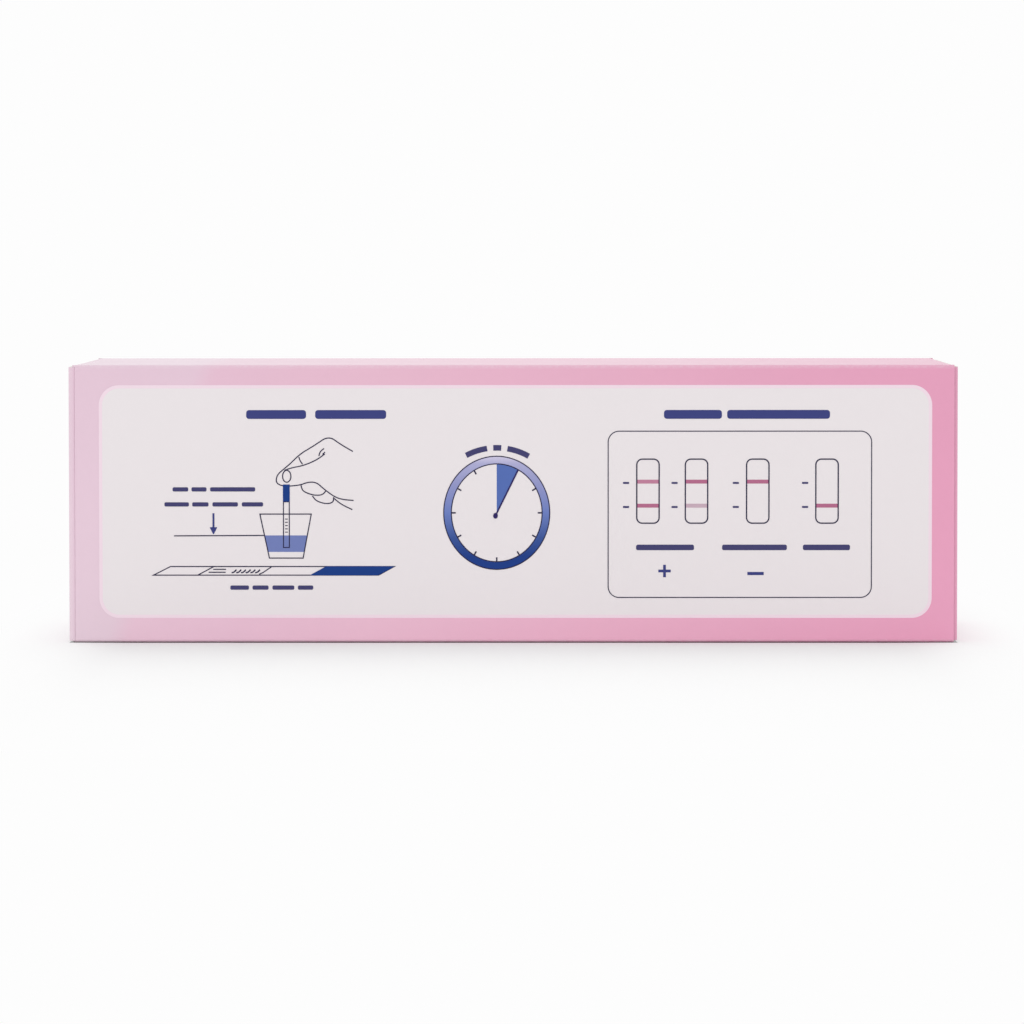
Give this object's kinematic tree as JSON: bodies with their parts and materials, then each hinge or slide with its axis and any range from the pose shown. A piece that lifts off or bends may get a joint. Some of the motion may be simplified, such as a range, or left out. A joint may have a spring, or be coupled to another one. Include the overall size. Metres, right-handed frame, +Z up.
{
  "type": "test strip carton",
  "caption": "Tuck-end folding carton of printed board with hinged end flaps; it holds sealed foil pouches of test strips and a folded leaflet, and stands on its bottom panel.",
  "frame": {"origin": "middle of the bottom panel's underside, at the middle of the whole carton's box", "axes": "+X along the carton to its right end, -Y out of the printed front panel, +Z up"},
  "size_m": [0.136, 0.051, 0.0425],
  "materials": {
    "printed_board": "coated board, printed pink outside and plain grey-white inside, soft satin sheen",
    "foil_film": "aluminised laminate film, satin silver",
    "leaflet_paper": "thin uncoated white paper"
  },
  "bodies": {
    "carton": {"carton_body": "printed_board", "pouch_01": "foil_film", "pouch_02": "foil_film", "pouch_03": "foil_film", "pouch_04": "foil_film", "pouch_05": "foil_film", "pouch_06": "foil_film", "pouch_07": "foil_film", "pouch_08": "foil_film", "pouch_09": "foil_film", "pouch_10": "foil_film", "pouch_11": "foil_film", "pouch_12": "foil_film", "pouch_13": "foil_film", "pouch_14": "foil_film", "pouch_15": "foil_film", "pouch_16": "foil_film", "pouch_17": "foil_film", "pouch_18": "foil_film", "pouch_19": "foil_film", "pouch_20": "foil_film", "instruction_leaflet": "leaflet_paper"},
    "left_flap": {"left_end_flap": "printed_board"},
    "right_flap": {"right_end_flap": "printed_board"}
  },
  "joints": [
    {"name": "left_flap_hinge", "type": "hinge", "parent": "carton", "child": "left_flap", "pos_m": [-0.0674, -0.0249, 0.02125], "axis": [0, 0, 1], "range_deg": [0, 120]},
    {"name": "right_flap_hinge", "type": "hinge", "parent": "carton", "child": "right_flap", "pos_m": [0.0674, 0.0249, 0.02125], "axis": [0, 0, 1], "range_deg": [0, 120]}
  ]
}
